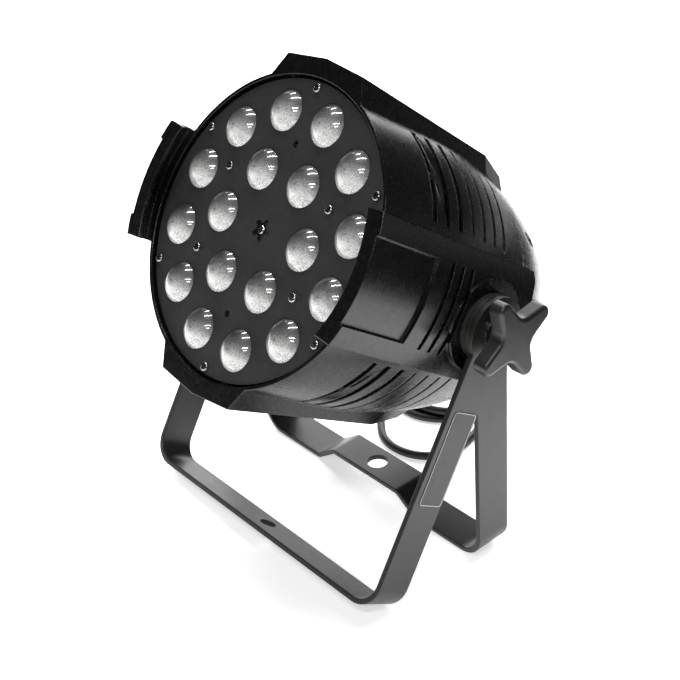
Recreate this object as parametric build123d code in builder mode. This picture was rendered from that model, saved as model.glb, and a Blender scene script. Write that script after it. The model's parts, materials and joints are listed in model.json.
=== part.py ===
from build123d import *

import os
from math import asin, cos, degrees, pi, radians, sin, sqrt

# Motorised-zoom LED par can on a double bracket, in millimetres.
# The head leans back on its pivots and both U brackets stand on the floor.
# +Z is up, -Y is the side the lenses face, and the origin is on the floor under the object's middle.

# ---------------------------------------------------------------- driving dimensions

HEAD_TILT = 29.5
PIVOT_HEIGHT = 195.4
PIVOT_Y = -2.45
PIVOT_DEPTH = 109.7
PIVOT_DROP = 1.7

RIM_FRONT = 2.8
BARREL_RADIUS = 110.0
BARREL_STRAIGHT_END = -70.0
DOME_LENGTH = 218.0
SHELL_SPLIT = -170.0
SHELL_END = -255.0
WALL = 2.5

PLATE_RADIUS = 105.5
PLATE_THICKNESS = 2.0
OUTER_LENS_CIRCLE = 83.0
INNER_LENS_CIRCLE = 43.5
LENS_RADIUS = 14.7
LENS_BULGE = 7.5
POST_CIRCLE = 61.5
EDGE_SCREW_CIRCLE = 101.0

HOOK_LIP_FRONT = 16.6
HOOK_LIP_BACK = 13.2
HOOK_WALL_RADIUS = 115.0
SIDE_FACE_RADIUS = 121.0
SIDE_RECESS_RADIUS = 118.4
BOSS_FACE = 121.5
BOSS_RADIUS = 33.3

STRIP_WIDTH = 30.0
STRIP_THICKNESS = 4.0
FRONT_BRACKET_HALF = 132.5
REAR_BRACKET_HALF = 128.0
FRONT_BRACKET_ANGLE = 26.75
REAR_BRACKET_ANGLE = -5.9
LEG_PAD_RADIUS = 24.0
BEND_RADIUS = 18.0
STRIP_CHAMFER = 0.5
STUD_RADIUS = 4.0

KNOB_BACK = 134.6
KNOB_HEAD_BACK = 140.5
KNOB_FACE = 151.5

LED_BOARD_FRONT = -38.4
SINK_FRONT = -40.0
SINK_BASE_BACK = -46.0
SINK_FIN_BACK = -86.0
FAN_FRONT = -91.0
FAN_DEPTH = 25.0
PANEL_BACK = -253.5

CORD_DIAMETER = 7.0
COIL_CENTRE = (-60.0, 148.0)

os.makedirs("parts", exist_ok=True)

# ---------------------------------------------------------------- planes

TILT_SIN = sin(radians(HEAD_TILT))
TILT_COS = cos(radians(HEAD_TILT))
FORWARD = Vector(0, -TILT_COS, TILT_SIN)
HEAD_UP = Vector(0, TILT_SIN, TILT_COS)
PIVOT = Vector(0, PIVOT_Y, PIVOT_HEIGHT)
HEAD_ORIGIN = PIVOT + FORWARD * PIVOT_DEPTH + HEAD_UP * PIVOT_DROP

# HEAD lies on the lens plate's front face: x to the right, y up, z forward out of the lens.
HEAD = Plane(origin=HEAD_ORIGIN, x_dir=(1, 0, 0), z_dir=FORWARD)
# PROFILE holds the optical axis: x is the radius and y runs forward.
PROFILE = Plane(origin=HEAD_ORIGIN, x_dir=(1, 0, 0), z_dir=-HEAD_UP)
# SIDE is seen from the right: x is the depth behind the lens plate and y is up.
SIDE = Plane(origin=HEAD_ORIGIN, x_dir=-FORWARD, z_dir=(1, 0, 0))
PIVOT_SIDE = Plane(origin=PIVOT, x_dir=-FORWARD, z_dir=(1, 0, 0))
OPTICAL_AXIS = Axis(HEAD_ORIGIN, FORWARD)


def across(station):
    """Plane across the optical axis, station mm in front of the lens plate."""
    return HEAD.offset(station)


def in_head(x, y, station):
    """World point of a place in the head."""
    return HEAD_ORIGIN + Vector(1, 0, 0) * x + HEAD_UP * y + FORWARD * station


def turned(point, angle):
    """A flat point turned anticlockwise about the optical axis."""
    c = cos(radians(angle))
    s = sin(radians(angle))
    return (point[0] * c - point[1] * s, point[0] * s + point[1] * c)


def circle_points(count, radius, first=0.0):
    """Points round the optical axis; the first is at an angle clockwise from straight up."""
    step = 360.0 / count
    return [turned((0, radius), -(first + step * k)) for k in range(count)]


def save(builder, name):
    builder.part.label = name
    export_step(builder.part, f"parts/{name}.step")


def disc_stack(name, centre_points, rings):
    """Round pieces along the optical axis: rings are (outer radius, inner radius, from, to)."""
    with BuildPart() as stack:
        for outer, inner, back, front in rings:
            with BuildSketch(across(back)):
                with Locations(*centre_points):
                    Circle(outer)
                    if inner:
                        Circle(inner, mode=Mode.SUBTRACT)
            extrude(amount=front - back)
    save(stack, name)
    return stack


# ---------------------------------------------------------------- cast shells

def dome_angle(station, inset):
    """Angle on the dome's ellipse at a station."""
    return degrees(asin((BARREL_STRAIGHT_END - station) / (DOME_LENGTH - inset)))


def dome_radius(station, inset=0.0):
    angle = radians(dome_angle(station, inset))
    return (BARREL_RADIUS - inset) * cos(angle)


def dome_arc(inset, first, last):
    """Part of the dome's outline between two stations."""
    EllipticalCenterArc(
        (0, BARREL_STRAIGHT_END),
        BARREL_RADIUS - inset,
        DOME_LENGTH - inset,
        start_angle=-dome_angle(first, inset),
        arc_size=dome_angle(first, inset) - dome_angle(last, inset),
    )


def dome_solid(inset, first, last):
    """Solid of the dome between two stations, inset from its skin."""
    with BuildPart() as body:
        with BuildSketch(PROFILE):
            with BuildLine():
                dome_arc(inset, first, last)
                Line((dome_radius(last, inset), last), (0, last))
                Line((0, last), (0, first))
                Line((0, first), (dome_radius(first, inset), first))
            make_face()
        revolve(axis=OPTICAL_AXIS)
    return body.part


SHELL_SCREW_POINTS = circle_points(4, 89.5, 45)
SINK_SCREW_POINTS = circle_points(4, 101.5, 45)

with BuildPart() as shell_bosses:
    with BuildSketch(across(SHELL_SPLIT - 10)):
        with Locations(*SHELL_SCREW_POINTS):
            Circle(7.0)
    extrude(amount=22)

front_dome = dome_solid(0.0, BARREL_STRAIGHT_END, SHELL_SPLIT)
rear_dome = dome_solid(0.0, SHELL_SPLIT, SHELL_END)
front_bosses = shell_bosses.part & front_dome
rear_bosses = shell_bosses.part & rear_dome

RIDGE_STATIONS = (
    # station, base height, corner height, crest height
    (RIM_FRONT, 100.3, 117.0, 121.0),
    (-141.0, 94.0, 107.0, 110.5),
    (-166.0, 87.0, 97.5, 100.0),
    (SHELL_SPLIT, 84.0, 91.5, 93.5),
)
RIDGE_BASE_HALF = 46.0
RIDGE_CORNER_HALF = 38.0


def ridge_outline(base, corner, crest, inset):
    half_base = RIDGE_BASE_HALF - inset
    half_corner = RIDGE_CORNER_HALF - inset
    return [
        (-half_base, 62),
        (half_base, 62),
        (half_base, base - inset),
        (half_corner, corner - inset),
        (0, crest - inset),
        (-half_corner, corner - inset),
        (-half_base, base - inset),
    ]


def ridge(angle, inset=0.0, front_wall=0.0):
    """Top or bottom ridge: a long raised box with a roof-shaped crest, falling to the rear."""
    with BuildPart() as body:
        for index, (station, base, corner, crest) in enumerate(RIDGE_STATIONS):
            place = station
            if index == 0:
                place = station - front_wall
            if index == len(RIDGE_STATIONS) - 1:
                place = station + inset * 1.5
            outline = ridge_outline(base, corner, crest, inset)
            with BuildSketch(across(place)):
                with BuildLine():
                    Polyline(*[turned(p, angle) for p in outline], close=True)
                make_face()
        loft(ruled=True)
    return body.part


def sector(inner, outer, half_angle, slant, first, last, middle_angle):
    """Block between two radii and two angles, with its side walls leaning out towards the root."""
    root = half_angle + slant
    corner_out = [turned((0, outer), middle_angle + a) for a in (half_angle, -half_angle)]
    corner_in = [turned((0, inner), middle_angle + a) for a in (root, -root)]
    with BuildPart() as block:
        with BuildSketch(across(first)):
            with BuildLine():
                ThreePointArc(corner_out[0], turned((0, outer), middle_angle), corner_out[1])
                Line(corner_out[1], corner_in[1])
                ThreePointArc(corner_in[1], turned((0, inner), middle_angle), corner_in[0])
                Line(corner_in[0], corner_out[0])
            make_face()
        extrude(amount=last - first)
    return block.part


SIDE_ANGLES = (90.0, -90.0)
SIDE_HALF_ANGLE = 21.3
SIDE_SLANT = 5.2
RECESS_HALF_ANGLE = 14.0
RECESS_END = -43.0
SIDE_RIDGE_END = 152.0

with BuildPart() as side_ridges:
    for side in SIDE_ANGLES:
        add(sector(92, SIDE_FACE_RADIUS, SIDE_HALF_ANGLE, SIDE_SLANT, -SIDE_RIDGE_END, HOOK_LIP_FRONT, side))
    with BuildSketch(SIDE):
        with Locations(((SIDE_RIDGE_END - 40) / 2, 0)):
            RectangleRounded(SIDE_RIDGE_END + 40, 97, 14)
    extrude(amount=130, both=True, mode=Mode.INTERSECT)

VENT_FIRST = -48.0
VENT_PITCH = -14.4
WIDE_VENTS = 3
NARROW_VENTS = 4
VENT_ARC = (27.0, 63.0)


def vent(station, width, inner, outer, angles):
    """Curved slot through the wall between two angles clockwise from straight up."""
    middle = (angles[0] + angles[1]) / 2
    half = (angles[1] - angles[0]) / 2
    return sector(inner, outer, half, 0.0, station - width / 2, station + width / 2, -middle)


with BuildPart() as front_shell:
    with BuildSketch(PROFILE):
        with BuildLine():
            Line((BARREL_RADIUS, BARREL_STRAIGHT_END), (BARREL_RADIUS, RIM_FRONT))
            Line((BARREL_RADIUS, RIM_FRONT), (0, RIM_FRONT))
            Line((0, RIM_FRONT), (0, SHELL_SPLIT))
            Line((0, SHELL_SPLIT), (dome_radius(SHELL_SPLIT), SHELL_SPLIT))
            dome_arc(0.0, BARREL_STRAIGHT_END, SHELL_SPLIT)
        make_face()
    revolve(axis=OPTICAL_AXIS)
    add(ridge(0.0))
    add(ridge(180.0))
    add(side_ridges.part)
    with BuildSketch(SIDE):
        with Locations((PIVOT_DEPTH, -PIVOT_DROP)):
            Circle(BOSS_RADIUS)
    extrude(amount=BOSS_FACE, both=True)
    # hollow inside, open at the front
    with BuildSketch(PROFILE):
        with BuildLine():
            Line((BARREL_RADIUS - WALL, BARREL_STRAIGHT_END), (BARREL_RADIUS - WALL, 30))
            Line((BARREL_RADIUS - WALL, 30), (0, 30))
            Line((0, 30), (0, SHELL_SPLIT))
            Line((0, SHELL_SPLIT), (dome_radius(SHELL_SPLIT, WALL), SHELL_SPLIT))
            dome_arc(WALL, BARREL_STRAIGHT_END, SHELL_SPLIT)
        make_face()
    revolve(axis=OPTICAL_AXIS, mode=Mode.SUBTRACT)
    for turn in (0.0, 180.0):
        add(ridge(turn, inset=3.0, front_wall=6.0), mode=Mode.SUBTRACT)
    for side in SIDE_ANGLES:
        # channel for an accessory frame behind each hook's lip
        add(
            sector(90, HOOK_WALL_RADIUS, 60, 0, RIM_FRONT, HOOK_LIP_BACK, side),
            mode=Mode.SUBTRACT,
        )
        # shallow recess on the outside of each hook
        add(
            sector(SIDE_RECESS_RADIUS, 130, RECESS_HALF_ANGLE, 0, RECESS_END, 30, side),
            mode=Mode.SUBTRACT,
        )
        # the side ridge is cast hollow from inside
        add(sector(95, 117, 18.0, 3.0, -72, -8, side), mode=Mode.SUBTRACT)
        # three slots across the ridge
        for index in range(3):
            station = -59.5 - 10.4 * index
            add(sector(90, 130, 14.5, 0, station - 1.6, station + 1.6, side), mode=Mode.SUBTRACT)
    for quarter in range(4):
        for index in range(WIDE_VENTS + NARROW_VENTS):
            station = VENT_FIRST + VENT_PITCH * index
            start = 90 * quarter + VENT_ARC[0]
            end = 90 * quarter + VENT_ARC[1]
            if index < WIDE_VENTS:
                cut = vent(station, 5.0, 90, 130, (start, end))
            else:
                cut = vent(station, 2.6, dome_radius(station) - 1.6, 130, (start, end))
            add(cut, mode=Mode.SUBTRACT)
    # through holes for the threaded pivot inserts
    with BuildSketch(SIDE):
        with Locations((PIVOT_DEPTH, -PIVOT_DROP)):
            Circle(9.0)
    extrude(amount=130, both=True, mode=Mode.SUBTRACT)
    # tapped bosses for the rear shell's screws
    add(front_bosses)
    with BuildSketch(across(SHELL_SPLIT)):
        with Locations(*SHELL_SCREW_POINTS):
            Circle(2.0)
    extrude(amount=10, mode=Mode.SUBTRACT)
    # tapped lugs that hold the heat sink
    with BuildSketch(across(SINK_BASE_BACK - 12)):
        with Locations(*circle_points(4, 103.2, 45)):
            Circle(5.0)
    extrude(amount=12)
    with BuildSketch(across(SINK_BASE_BACK - 8)):
        with Locations(*SINK_SCREW_POINTS):
            Circle(1.5)
    extrude(amount=8, mode=Mode.SUBTRACT)
save(front_shell, "front_shell")

REAR_RIB_HALF = 24.0
PANEL_RADIUS = 54.5
PANEL_THICKNESS = 2.0
PANEL_SCREWS = circle_points(4, 52.2, 45)

with BuildPart() as flank_ribs:
    with BuildSketch(SIDE):
        with Locations((-(SHELL_SPLIT + SHELL_END) / 2 - 2, 0)):
            Rectangle(SHELL_SPLIT - SHELL_END - 4, 2 * REAR_RIB_HALF)
    extrude(amount=130, both=True)

flank_skin = dome_solid(-2.6, SHELL_SPLIT, SHELL_END + 2) & flank_ribs.part

with BuildPart() as rear_shell:
    add(rear_dome)
    add(flank_skin)
    add(dome_solid(WALL, SHELL_SPLIT, SHELL_END + 7), mode=Mode.SUBTRACT)
    add(rear_bosses)
    # seat and opening of the rear panel
    with BuildSketch(across(SHELL_END)):
        Circle(PANEL_RADIUS + 0.3)
    extrude(amount=PANEL_BACK + PANEL_THICKNESS - SHELL_END, mode=Mode.SUBTRACT)
    with BuildSketch(across(SHELL_END)):
        Circle(49.8)
    extrude(amount=20, mode=Mode.SUBTRACT)
    with BuildSketch(across(SHELL_SPLIT - 60)):
        with Locations(*SHELL_SCREW_POINTS):
            Circle(2.2)
    extrude(amount=60, mode=Mode.SUBTRACT)
    with BuildSketch(across(SHELL_SPLIT - 60)):
        with Locations(*SHELL_SCREW_POINTS):
            Circle(4.2)
    extrude(amount=56, mode=Mode.SUBTRACT)
    with BuildSketch(across(SHELL_END)):
        with Locations(*PANEL_SCREWS):
            Circle(1.3)
    extrude(amount=8, mode=Mode.SUBTRACT)
save(rear_shell, "rear_shell")

disc_stack("shell_screws", SHELL_SCREW_POINTS, (
    (2.0, 0, SHELL_SPLIT - 4, SHELL_SPLIT + 10),
    (3.8, 0, SHELL_SPLIT - 8, SHELL_SPLIT - 4),
))

# ---------------------------------------------------------------- zoom carriage

LENS_POINTS = circle_points(12, OUTER_LENS_CIRCLE, 15) + circle_points(6, INNER_LENS_CIRCLE, 30)
ROD_POINTS = circle_points(2, POST_CIRCLE)
POST_POINTS = [turned((0, POST_CIRCLE), a) for a in (60, 120, -60, -120)]
EDGE_SCREW_POINTS = circle_points(6, EDGE_SCREW_CIRCLE)
ROD_RADIUS = 2.0
SCREW_RADIUS = 3.0

with BuildPart() as zoom_plate:
    with BuildSketch(across(-PLATE_THICKNESS)):
        Circle(PLATE_RADIUS)
        with Locations(*LENS_POINTS):
            Circle(LENS_RADIUS + 0.3, mode=Mode.SUBTRACT)
        with Locations(*ROD_POINTS):
            Circle(2.6, mode=Mode.SUBTRACT)
        with Locations(*(POST_POINTS + EDGE_SCREW_POINTS)):
            Circle(1.6, mode=Mode.SUBTRACT)
        Circle(5.2, mode=Mode.SUBTRACT)
        with Locations(*circle_points(5, 6.0, 20)):
            Circle(2.3, mode=Mode.SUBTRACT)
    extrude(amount=PLATE_THICKNESS)
save(zoom_plate, "zoom_plate")

LENS_BACK = -6.0

with BuildPart() as lenses:
    cap_radius = (LENS_RADIUS ** 2 + LENS_BULGE ** 2) / (2 * LENS_BULGE)
    with BuildSketch(PROFILE):
        with BuildLine():
            Line((0, LENS_BACK), (LENS_RADIUS, LENS_BACK))
            Line((LENS_RADIUS, LENS_BACK), (LENS_RADIUS, 0))
            RadiusArc((LENS_RADIUS, 0), (0, LENS_BULGE), -cap_radius)
            Line((0, LENS_BULGE), (0, LENS_BACK))
        make_face()
    one_lens = revolve(axis=OPTICAL_AXIS, mode=Mode.PRIVATE)
    for x, y in LENS_POINTS:
        add(one_lens.moved(Location(Vector(1, 0, 0) * x + HEAD_UP * y)))
save(lenses, "lenses")

HOLDER_BACK = -12.0
disc_stack("lens_holders", LENS_POINTS, (
    (16.6, 14.8, LENS_BACK, -PLATE_THICKNESS),
    (16.6, 13.0, LENS_BACK - 1.2, LENS_BACK),
    (15.4, 13.6, HOLDER_BACK, LENS_BACK - 1.2),
))

with BuildPart() as lens_carrier:
    with BuildSketch(across(HOLDER_BACK + 1)):
        Circle(71.0)
        Circle(53.0, mode=Mode.SUBTRACT)
        with Locations(*LENS_POINTS):
            Circle(17.2, mode=Mode.SUBTRACT)
        with Locations(*ROD_POINTS):
            Circle(4.02, mode=Mode.SUBTRACT)
        with Locations(*POST_POINTS):
            Circle(1.6, mode=Mode.SUBTRACT)
    extrude(amount=2)
save(lens_carrier, "lens_carrier")

disc_stack("carrier_posts", POST_POINTS, ((3.5, 1.55, HOLDER_BACK + 3, -PLATE_THICKNESS),))

disc_stack("slide_bushes", ROD_POINTS, (
    (4.0, ROD_RADIUS + 0.05, HOLDER_BACK - 1, -PLATE_THICKNESS),
))

disc_stack("travelling_nut", [(0, 0)], (
    (12.0, SCREW_RADIUS + 0.05, -4.5, -PLATE_THICKNESS),
    (7.0, SCREW_RADIUS + 0.05, -16.0, -4.5),
))

def screw_group(name, points, seat, head_radius, head_height, shank_radius, shank_length):
    """Round-headed cross-recess screws seen from the front."""
    with BuildPart() as group:
        with BuildSketch(across(seat - shank_length)):
            with Locations(*points):
                Circle(shank_radius)
        extrude(amount=shank_length)
        with BuildSketch(across(seat)):
            with Locations(*points):
                Circle(head_radius)
        extrude(amount=head_height)
        top = group.edges().filter_by(GeomType.CIRCLE).group_by(SortBy.RADIUS)[-1]
        crown = seat + head_height
        front = top.filter_by(lambda edge: abs(HEAD.to_local_coords(edge.center()).Z - crown) < 0.01)
        fillet(front, head_height * 0.6)
        with BuildSketch(across(seat + head_height)):
            with Locations(*points):
                Rectangle(head_radius * 1.1, head_radius * 0.26)
                Rectangle(head_radius * 0.26, head_radius * 1.1)
        extrude(amount=-head_height * 0.5, mode=Mode.SUBTRACT)
    save(group, name)
    return group


screw_group("edge_screws", EDGE_SCREW_POINTS, 0.0, 3.3, 2.3, 1.5, 6.0)
screw_group("post_screws", POST_POINTS, 0.0, 3.3, 2.3, 1.5, 8.0)

# ---------------------------------------------------------------- light engine

with BuildPart() as led_board:
    with BuildSketch(across(SINK_FRONT)):
        Circle(98)
        Circle(9, mode=Mode.SUBTRACT)
        with Locations(*ROD_POINTS):
            Circle(3.0, mode=Mode.SUBTRACT)
        with Locations(*circle_points(6, 91.0, 0)):
            Circle(1.8, mode=Mode.SUBTRACT)
    extrude(amount=LED_BOARD_FRONT - SINK_FRONT)
save(led_board, "led_board")

screw_group("led_board_screws", circle_points(6, 91.0, 0), LED_BOARD_FRONT, 2.8, 1.8, 1.5, 5.0)

with BuildPart() as led_emitters:
    with BuildSketch(across(LED_BOARD_FRONT)):
        with Locations(*LENS_POINTS):
            Rectangle(9, 9)
    extrude(amount=1.0)
    with BuildSketch(across(LED_BOARD_FRONT + 1.0)):
        with Locations(*LENS_POINTS):
            Circle(3.6)
    extrude(amount=1.6)
save(led_emitters, "led_emitters")

screw_group("sink_screws", SINK_SCREW_POINTS, SINK_FRONT, 2.8, 1.6, 1.5, 13.0)

MOTOR_HALF = 17.6

with BuildPart() as heat_sink:
    with BuildSketch(across(SINK_BASE_BACK)):
        Circle(98)
        with Locations(*SINK_SCREW_POINTS):
            Circle(5.4)
        Circle(9, mode=Mode.SUBTRACT)
        with Locations(*ROD_POINTS):
            Circle(ROD_RADIUS, mode=Mode.SUBTRACT)
        with Locations(*circle_points(6, 91.0, 0)):
            Circle(1.5, mode=Mode.SUBTRACT)
        with Locations(*SINK_SCREW_POINTS):
            Circle(1.7, mode=Mode.SUBTRACT)
    extrude(amount=SINK_FRONT - SINK_BASE_BACK)
    for index in range(23):
        offset_x = -88 + 8 * index
        half = sqrt(96 ** 2 - offset_x ** 2)
        with BuildSketch(across(SINK_FIN_BACK)):
            with Locations((offset_x, 0)):
                Rectangle(2.2, 2 * half)
        extrude(amount=SINK_BASE_BACK - SINK_FIN_BACK)
    with BuildSketch(across(SINK_FIN_BACK)):
        Rectangle(2 * MOTOR_HALF + 8, 2 * MOTOR_HALF + 8)
    extrude(amount=SINK_BASE_BACK - SINK_FIN_BACK, mode=Mode.SUBTRACT)
save(heat_sink, "heat_sink")

with BuildPart() as zoom_motor:
    with BuildSketch(across(SINK_BASE_BACK - 28)):
        RectangleRounded(2 * MOTOR_HALF, 2 * MOTOR_HALF, 4)
    extrude(amount=28)
    with BuildSketch(across(SINK_BASE_BACK)):
        Circle(8.8)
    extrude(amount=2)
    with BuildSketch(across(SINK_BASE_BACK - 24)):
        Circle(SCREW_RADIUS + 0.05)
    extrude(amount=40, mode=Mode.SUBTRACT)
save(zoom_motor, "zoom_motor")

with BuildPart() as lead_screw:
    with BuildSketch(across(SINK_BASE_BACK - 23)):
        Circle(SCREW_RADIUS)
    extrude(amount=24 + 23 + 22.6)
    tip = lead_screw.faces().sort_by(OPTICAL_AXIS)[-1]
    chamfer(tip.edges(), 0.6)
save(lead_screw, "lead_screw")

disc_stack("guide_rods", ROD_POINTS, ((ROD_RADIUS, 0, SINK_BASE_BACK, -3.0),))

# ---------------------------------------------------------------- cooling fan

FAN_HALF = 60.0
FAN_BACK = FAN_FRONT - FAN_DEPTH
FAN_HUB = 19.0

with BuildPart() as fan_frame:
    with BuildSketch(across(FAN_BACK)):
        RectangleRounded(2 * FAN_HALF, 2 * FAN_HALF, 6)
        Circle(57.5, mode=Mode.SUBTRACT)
        with GridLocations(105, 105, 2, 2):
            Circle(2.2, mode=Mode.SUBTRACT)
    extrude(amount=FAN_DEPTH)
    with BuildSketch(across(FAN_BACK)):
        Circle(FAN_HUB)
        for spoke in range(4):
            with Locations(Location((0, 0, 0), (0, 0, 45 + 90 * spoke))):
                with Locations((38.5, 0)):
                    Rectangle(40, 4)
    extrude(amount=2.5)
    with BuildSketch(across(FAN_BACK)):
        Circle(1.55)
    extrude(amount=2.5, mode=Mode.SUBTRACT)
save(fan_frame, "fan_frame")

with BuildPart() as fan_rotor:
    with BuildSketch(across(FAN_BACK + 3.2)):
        Circle(FAN_HUB)
    extrude(amount=18)
    with BuildSketch(across(FAN_BACK + 0.4)):
        Circle(1.5)
    extrude(amount=4)
    for blade in range(7):
        with BuildSketch(across(FAN_BACK + 5)):
            with Locations(Location((0, 0, 0), (0, 0, 360 / 7 * blade))):
                with Locations(Location((36, 0, 0), (0, 0, 14))):
                    Rectangle(38, 2.4)
        with BuildSketch(across(FAN_BACK + 19)):
            with Locations(Location((0, 0, 0), (0, 0, 360 / 7 * blade + 24))):
                with Locations(Location((36, 0, 0), (0, 0, 14))):
                    Rectangle(38, 2.4)
        loft()
save(fan_rotor, "fan_rotor")

fan_corners = [(x, y) for x in (-52.5, 52.5) for y in (-52.5, 52.5)]
fan_post_rings = ((2.0, 0, FAN_BACK - 4, SINK_FIN_BACK), (3.6, 0, FAN_FRONT, SINK_FIN_BACK))
disc_stack("fan_posts", fan_corners, fan_post_rings)

# ---------------------------------------------------------------- electronics

TRAY_FRONT = -124.0

with BuildPart() as board_tray:
    with BuildSketch(across(TRAY_FRONT - 2)):
        RectangleRounded(132, 116, 8)
        with Locations(*fan_corners):
            Circle(2.2, mode=Mode.SUBTRACT)
        with GridLocations(60, 40, 2, 2):
            Rectangle(34, 22, mode=Mode.SUBTRACT)
    extrude(amount=2)
    with BuildSketch(across(TRAY_FRONT)):
        with Locations(*fan_corners):
            Circle(4.5)
            Circle(2.2, mode=Mode.SUBTRACT)
    extrude(amount=FAN_BACK - TRAY_FRONT)
    with BuildSketch(across(TRAY_FRONT - 8)):
        with GridLocations(110, 66, 2, 2):
            Circle(3)
    extrude(amount=6)
save(board_tray, "board_tray")

with BuildPart() as power_supply:
    with BuildSketch(across(TRAY_FRONT - 9.6)):
        Rectangle(120, 76)
    extrude(amount=1.6)
    blocks = (
        # x, y, width, height, depth
        (-38, 14, 28, 30, 26),
        (-4, 16, 30, 26, 22),
        (32, 20, 22, 18, 18),
        (30, -18, 30, 14, 24),
        (-44, -20, 18, 14, 14),
    )
    for x, y, width, height, depth in blocks:
        with BuildSketch(across(TRAY_FRONT - 9.6 - depth)):
            with Locations((x, y)):
                RectangleRounded(width, height, 1.5)
        extrude(amount=depth)
    with BuildSketch(across(TRAY_FRONT - 9.6 - 28)):
        with Locations((-14, -20), (2, -20)):
            Circle(7)
    extrude(amount=28)
save(power_supply, "power_supply")

DRIVER_FRONT = -182.0

with BuildPart() as driver_board:
    with BuildSketch(across(DRIVER_FRONT - 1.6)):
        Rectangle(96, 70)
    extrude(amount=1.6)
    for x, y, width, height, depth in ((-30, 20, 12, 12, 6), (-10, 20, 12, 12, 6), (10, 20, 12, 12, 6),
                                       (30, 20, 12, 12, 6), (0, -6, 18, 18, 2), (-32, -18, 20, 12, 9)):
        with BuildSketch(across(DRIVER_FRONT - 1.6 - depth)):
            with Locations((x, y)):
                Rectangle(width, height)
        extrude(amount=depth)
    with BuildSketch(across(DRIVER_FRONT)):
        with GridLocations(90, 64.8, 2, 2):
            Circle(2.4)
    extrude(amount=TRAY_FRONT - 9.6 - DRIVER_FRONT)
save(driver_board, "driver_board")

# ---------------------------------------------------------------- rear panel and what is on it

DISPLAY_AT = (0.0, 30.0)
BUTTON_XS = (-19.5, -6.5, 6.5, 19.5)
BUTTON_Y = 13.0
BUTTON_RADIUS = 3.4
SOCKET_POINTS = [(-22.0, -9.0), (22.0, -9.0)]
FUSE_AT = (14.0, -37.0)
GLAND_AT = (-12.0, -37.0)

with BuildPart() as rear_panel:
    with BuildSketch(across(PANEL_BACK)):
        Circle(PANEL_RADIUS)
        with Locations(DISPLAY_AT):
            Rectangle(34.4, 14.4, mode=Mode.SUBTRACT)
        with Locations(*[(x, BUTTON_Y) for x in BUTTON_XS]):
            Circle(BUTTON_RADIUS + 0.25, mode=Mode.SUBTRACT)
        with Locations(*SOCKET_POINTS):
            Circle(11.8, mode=Mode.SUBTRACT)
        with Locations(FUSE_AT):
            Circle(6.2, mode=Mode.SUBTRACT)
        with Locations(GLAND_AT):
            Circle(8.1, mode=Mode.SUBTRACT)
        with Locations(*PANEL_SCREWS):
            Circle(1.6, mode=Mode.SUBTRACT)
    extrude(amount=PANEL_THICKNESS)
save(rear_panel, "rear_panel")

with BuildPart() as panel_screws:
    with BuildSketch(across(PANEL_BACK)):
        with Locations(*PANEL_SCREWS):
            Circle(1.25)
    extrude(amount=8)
    with BuildSketch(across(PANEL_BACK - 1.6)):
        with Locations(*PANEL_SCREWS):
            Circle(2.6)
    extrude(amount=1.6)
    with BuildSketch(across(PANEL_BACK - 1.6)):
        with Locations(*PANEL_SCREWS):
            Rectangle(3.0, 0.7)
            Rectangle(0.7, 3.0)
    extrude(amount=0.9, mode=Mode.SUBTRACT)
save(panel_screws, "panel_screws")

with BuildPart() as display_window:
    with BuildSketch(across(PANEL_BACK - 0.6)):
        with Locations(DISPLAY_AT):
            RectangleRounded(38, 18, 2)
    extrude(amount=0.6)
    with BuildSketch(across(PANEL_BACK)):
        with Locations(DISPLAY_AT):
            Rectangle(34, 14)
    extrude(amount=PANEL_THICKNESS)
save(display_window, "display_window")

with BuildPart() as display_board:
    with BuildSketch(across(PANEL_BACK + 12)):
        with Locations((0, 23)):
            Rectangle(58, 36)
    extrude(amount=1.6)
    with BuildSketch(across(PANEL_BACK + 3)):
        with Locations(DISPLAY_AT):
            Rectangle(33, 13)
    extrude(amount=9)
    with BuildSketch(across(PANEL_BACK + 8)):
        with Locations(*[(x, BUTTON_Y) for x in BUTTON_XS]):
            Rectangle(6, 6)
    extrude(amount=4)
save(display_board, "display_board")

for name, x in zip(("menu", "down", "up", "enter"), BUTTON_XS):
    with BuildPart() as button:
        with BuildSketch(across(PANEL_BACK - 1.8)):
            with Locations((x, BUTTON_Y)):
                Circle(BUTTON_RADIUS)
        extrude(amount=5)
        with BuildSketch(across(PANEL_BACK + 3.2)):
            with Locations((x, BUTTON_Y)):
                Circle(4.4)
        extrude(amount=1)
        with BuildSketch(across(PANEL_BACK + 4.2)):
            with Locations((x, BUTTON_Y)):
                Circle(1.5)
        extrude(amount=2.9)
        back_face = button.faces().sort_by(OPTICAL_AXIS)[0]
        fillet(back_face.edges(), 0.5)
    save(button, f"button_{name}")

SOCKETS = (("data_input", SOCKET_POINTS[0], False), ("data_output", SOCKET_POINTS[1], True))

for name, point, pin_holes in SOCKETS:
    with BuildPart() as socket:
        with BuildSketch(across(PANEL_BACK - 2)):
            with Locations(point):
                RectangleRounded(26, 31, 3)
        extrude(amount=2)
        with BuildSketch(across(PANEL_BACK)):
            with Locations(point):
                Circle(11.6)
        extrude(amount=18)
        with BuildSketch(across(PANEL_BACK - 2)):
            with Locations(point):
                Circle(9.6)
        extrude(amount=14, mode=Mode.SUBTRACT)
        with BuildSketch(across(PANEL_BACK - 2)):
            with Locations((point[0] - 9.5, point[1] + 12), (point[0] + 9.5, point[1] - 12)):
                Circle(1.6)
        extrude(amount=2, mode=Mode.SUBTRACT)
        contacts = [(point[0] + dx, point[1] + dy) for dx, dy in ((-3.5, 2.0), (3.5, 2.0), (0, -4.0))]
        if pin_holes:
            with BuildSketch(across(PANEL_BACK - 1)):
                with Locations(point):
                    Circle(7.6)
                with Locations(*contacts):
                    Circle(1.3, mode=Mode.SUBTRACT)
            extrude(amount=13)
        else:
            with BuildSketch(across(PANEL_BACK + 1)):
                with Locations(*contacts):
                    Circle(1.2)
            extrude(amount=11)
    save(socket, name)

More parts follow.
